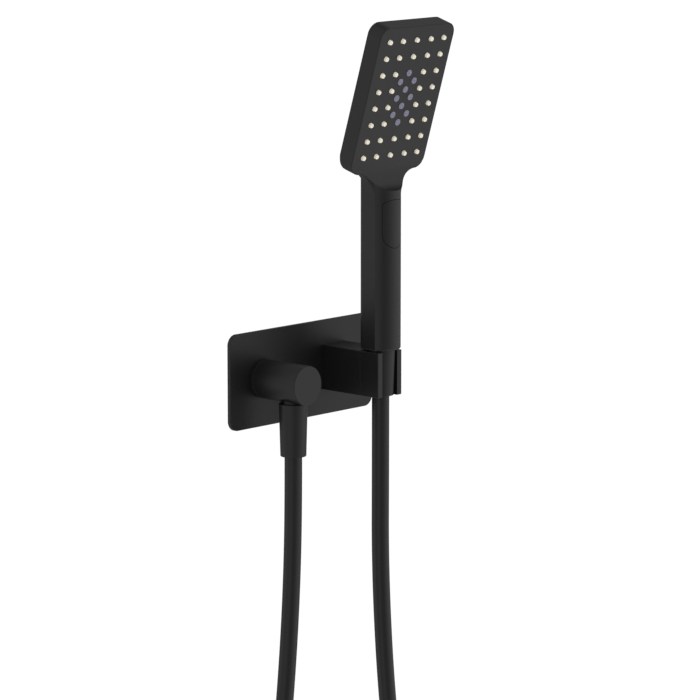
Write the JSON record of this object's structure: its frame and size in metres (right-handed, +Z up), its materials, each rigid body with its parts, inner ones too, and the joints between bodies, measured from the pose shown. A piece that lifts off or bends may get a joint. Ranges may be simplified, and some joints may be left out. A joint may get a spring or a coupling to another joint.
{
  "type": "hand shower set",
  "caption": "Slim rectangular hand shower with a mode button, resting in a wall holder, with its hose and the wall outlet that feeds it.",
  "frame": {"origin": "centre of the wall plate's back face, which lies on the wall", "axes": "+X to the right of someone facing the wall, -Y out into the room, +Z up"},
  "size_m": [0.1728, 0.1098, 0.8794],
  "materials": {
    "black_metal": "matte black, satin",
    "black_plastic": "matte black, satin",
    "hose_skin": "smooth satin black",
    "brass": "machined",
    "steel": "stainless",
    "seal_rubber": "matte",
    "cream_silicone": "soft matte",
    "mist_plastic": "satin",
    "inner_plastic": "moulded"
  },
  "bodies": {
    "root": {"wall_plate": "black_metal", "wall_gasket": "seal_rubber", "inlet_nipple": "brass", "collar_seal": "seal_rubber", "outlet_collar": "black_metal", "outlet_body": "black_metal", "outlet_spigot": "black_metal", "spigot_oring": "seal_rubber", "check_valve_cage": "inner_plastic", "check_valve_spring": "steel", "lower_washer": "seal_rubber", "lower_ferrule": "brass", "lower_sleeve": "steel", "shower_hose": "hose_skin", "holder_arm": "black_metal", "holder_cradle": "black_plastic", "arm_screws": "steel"},
    "poppet": {"check_valve_poppet": "inner_plastic"},
    "outlet_nut": {"lower_nut": "black_metal"},
    "hose_end": {"upper_ferrule": "brass", "upper_sleeve": "steel"},
    "handset": {"upper_washer": "seal_rubber", "upper_nut": "black_metal", "inlet_connector": "brass", "connector_oring": "seal_rubber", "flow_limiter": "inner_plastic", "handset_shell": "black_plastic", "front_cover": "black_plastic", "nozzle_mat": "cream_silicone", "mist_nozzles": "mist_plastic", "distributor": "inner_plastic", "chamber_seal": "seal_rubber", "chamber_lid": "inner_plastic", "lid_screws": "steel", "water_tube": "inner_plastic", "valve_body": "inner_plastic", "shuttle_spring": "steel", "riser": "inner_plastic", "button_spring": "steel", "stem_seal": "seal_rubber"},
    "button": {"mode_button": "black_plastic"},
    "shuttle": {"shuttle_valve": "inner_plastic", "shuttle_orings": "seal_rubber"}
  },
  "joints": [
    {"name": "handset_lift", "type": "slide", "parent": "root", "child": "hose_end", "axis": [0, 0, 1], "range_m": [0, 0.06]},
    {"name": "handset_turn", "type": "hinge", "parent": "hose_end", "child": "handset", "pos_m": [0.03635, -0.0545, 0], "axis": [0, 0, 1], "range_deg": [-90, 90]},
    {"name": "button_press", "type": "slide", "parent": "handset", "child": "button", "axis": [0, 1, 0], "range_m": [0, 0.0025], "stiffness_N_per_m": 500, "springref_m": -0.002, "deforming": ["button_spring"]},
    {"name": "shuttle_slide", "type": "slide", "parent": "handset", "child": "shuttle", "axis": [0, 0, 1], "range_m": [0, 0.0025], "deforming": ["shuttle_spring"]},
    {"name": "check_valve_open", "type": "slide", "parent": "root", "child": "poppet", "axis": [0, 0, -1], "range_m": [0, 0.002], "stiffness_N_per_m": 60, "springref_m": -0.003, "deforming": ["check_valve_spring"]},
    {"name": "outlet_nut_turn", "type": "hinge", "parent": "root", "child": "outlet_nut", "pos_m": [-0.045, -0.036, 0], "axis": [0, 0, 1], "continuous": true}
  ],
  "couplings": [
    {"joint": "shuttle_slide", "follows": "button_press", "ratio": 1}
  ]
}
